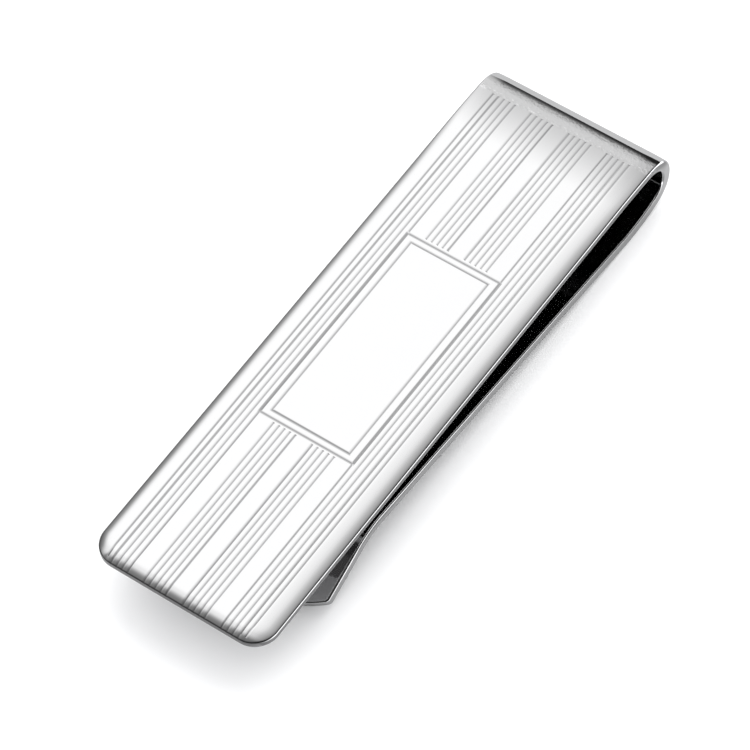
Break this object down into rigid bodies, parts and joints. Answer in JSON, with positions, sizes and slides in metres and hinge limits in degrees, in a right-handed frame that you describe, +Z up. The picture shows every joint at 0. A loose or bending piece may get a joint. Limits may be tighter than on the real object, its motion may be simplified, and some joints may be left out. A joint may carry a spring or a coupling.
{
  "type": "money clip",
  "caption": "Folded spring-metal money clip with an engraved pinstripe front, a blank framed cartouche, a sprung tongue with a grip ridge and a flared entry lip.",
  "frame": {"origin": "under the middle of the clip's bounding box, on the surface that the clip lies on with its engraved front up", "axes": "+Z up, out of the engraved front; +Y along the clip towards the fold; +X across the strip"},
  "size_m": [0.0176, 0.0586, 0.0064],
  "materials": {
    "polished_metal": "mirror polished"
  },
  "bodies": {
    "tongue": {"tongue": "polished_metal", "grip_ridge": "polished_metal", "entry_lip": "polished_metal"},
    "tongue_root": {"tongue_root": "polished_metal"},
    "lower_bend": {"lower_bend": "polished_metal"},
    "crown_bend": {"crown_bend": "polished_metal"},
    "upper_bend": {"upper_bend": "polished_metal"},
    "front_plate": {"front_plate": "polished_metal"}
  },
  "joints": [
    {"name": "tongue_flex", "type": "hinge", "parent": "tongue", "child": "tongue_root", "pos_m": [0, 0.02206, 0.00007], "axis": [-1, 0, 0], "range_deg": [0, 2.2], "stiffness_Nm_per_rad": 22.8},
    {"name": "lower_fold_flex", "type": "hinge", "parent": "tongue_root", "child": "lower_bend", "pos_m": [0, 0.0272, 0.00049], "axis": [-1, 0, 0], "range_deg": [0, 0.375], "stiffness_Nm_per_rad": 158},
    {"name": "side_fold_flex", "type": "hinge", "parent": "lower_bend", "child": "crown_bend", "pos_m": [0, 0.02913, 0.00226], "axis": [-1, 0, 0], "range_deg": [0, 0.375], "stiffness_Nm_per_rad": 158},
    {"name": "upper_fold_flex", "type": "hinge", "parent": "crown_bend", "child": "upper_bend", "pos_m": [0, 0.02872, 0.00506], "axis": [-1, 0, 0], "range_deg": [0, 0.375], "stiffness_Nm_per_rad": 158},
    {"name": "front_flex", "type": "hinge", "parent": "upper_bend", "child": "front_plate", "pos_m": [0, 0.0261, 0.00643], "axis": [-1, 0, 0], "range_deg": [0, 2], "stiffness_Nm_per_rad": 28.2}
  ]
}
